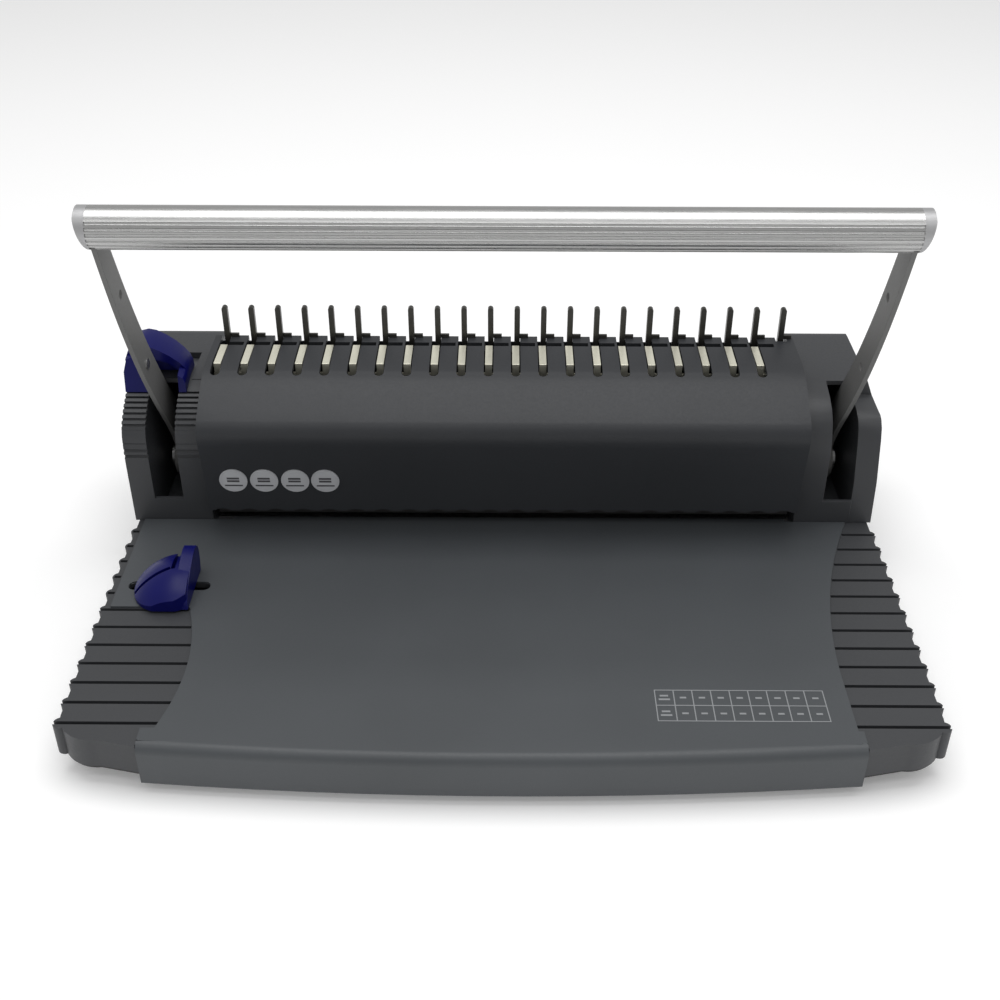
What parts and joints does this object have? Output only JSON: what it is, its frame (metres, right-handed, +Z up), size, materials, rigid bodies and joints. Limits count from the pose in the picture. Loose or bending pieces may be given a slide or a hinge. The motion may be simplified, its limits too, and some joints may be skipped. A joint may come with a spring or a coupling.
{
  "type": "comb binding machine",
  "caption": "Manual desktop plastic comb binding machine: a lever punches a row of slots in sheets laid on the table and pulls hooks that open the comb against fixed fingers.",
  "frame": {"origin": "on the ground under the centre of the bounding box", "axes": "+X to the user's right along the handle bar, +Y away from the user, +Z up"},
  "size_m": [0.4, 0.274, 0.2218],
  "materials": {
    "body_plastic": "fine grained dark grey moulding",
    "table_plastic": "fine grained dark grey moulding",
    "cover_plastic": "fine grained darker grey moulding",
    "dark_plastic": "plain black moulding",
    "foot_rubber": "soft black rubber",
    "screw_steel": "zinc plated",
    "plate_steel": "plain rolled steel",
    "bush_brass": "plain",
    "finger_steel": "black oxide",
    "badge_print": "light grey print",
    "chart_print": "light grey print",
    "arm_metal": "grey silver paint",
    "bar_aluminium": "satin anodised, fluted",
    "cap_silver": "silver grey",
    "punch_steel": "ground steel",
    "hook_zinc": "yellowish zinc plating",
    "blue_plastic": "glossy dark blue"
  },
  "bodies": {
    "root": {"base_shell": "body_plastic", "base_tray": "dark_plastic", "rubber_feet": "foot_rubber", "base_screws": "screw_steel", "work_table": "table_plastic", "centre_cover": "cover_plastic", "rear_cover": "cover_plastic", "left_side_cover": "cover_plastic", "right_side_cover": "cover_plastic", "frame_left": "plate_steel", "frame_right": "plate_steel", "shaft_bushes": "bush_brass", "die_plate": "plate_steel", "guide_plate": "plate_steel", "throat_spacers": "plate_steel", "paper_stop": "plate_steel", "rake_guides": "dark_plastic", "finger_bar": "dark_plastic", "comb_fingers": "finger_steel", "spec_badges": "badge_print", "size_chart": "chart_print"},
    "lever": {"cross_shaft": "plate_steel", "crank_left": "plate_steel", "crank_right": "plate_steel", "arm_left": "arm_metal", "arm_right": "arm_metal", "arm_screws": "screw_steel", "arm_rivets": "screw_steel", "handle_bar": "bar_aluminium", "handle_cap_left": "cap_silver", "handle_cap_right": "cap_silver"},
    "punch": {"punch_bar": "plate_steel", "punches": "punch_steel"},
    "rake": {"hook_rake": "hook_zinc"},
    "comb_stop": {"comb_stop": "blue_plastic"},
    "edge_guide": {"edge_guide_knob": "blue_plastic", "edge_guide_shoe": "dark_plastic"},
    "drawer": {"chip_drawer": "dark_plastic"}
  },
  "joints": [
    {"name": "lever_hinge", "type": "hinge", "parent": "root", "child": "lever", "pos_m": [0, 0.084, 0.044], "axis": [1, 0, 0], "range_deg": [0, 50], "stiffness_Nm_per_rad": 0.6, "springref_deg": -34.38},
    {"name": "punch_slide", "type": "slide", "parent": "root", "child": "punch", "axis": [0, 0, -1], "range_m": [0, 0.008]},
    {"name": "rake_slide", "type": "slide", "parent": "root", "child": "rake", "axis": [0, -1, 0], "range_m": [0, 0.008]},
    {"name": "comb_stop_swing", "type": "hinge", "parent": "root", "child": "comb_stop", "pos_m": [0, 0.084, 0.044], "axis": [1, 0, 0], "range_deg": [-14, 0]},
    {"name": "edge_guide_slide", "type": "slide", "parent": "root", "child": "edge_guide", "axis": [1, 0, 0], "range_m": [-0.009, 0.012]},
    {"name": "drawer_slide", "type": "slide", "parent": "root", "child": "drawer", "axis": [0, 1, 0], "range_m": [0, 0.08]}
  ],
  "couplings": [
    {"joint": "punch_slide", "follows": "lever_hinge", "m_per_rad": 0.0091673},
    {"joint": "rake_slide", "follows": "lever_hinge", "m_per_rad": 0.0091673}
  ]
}
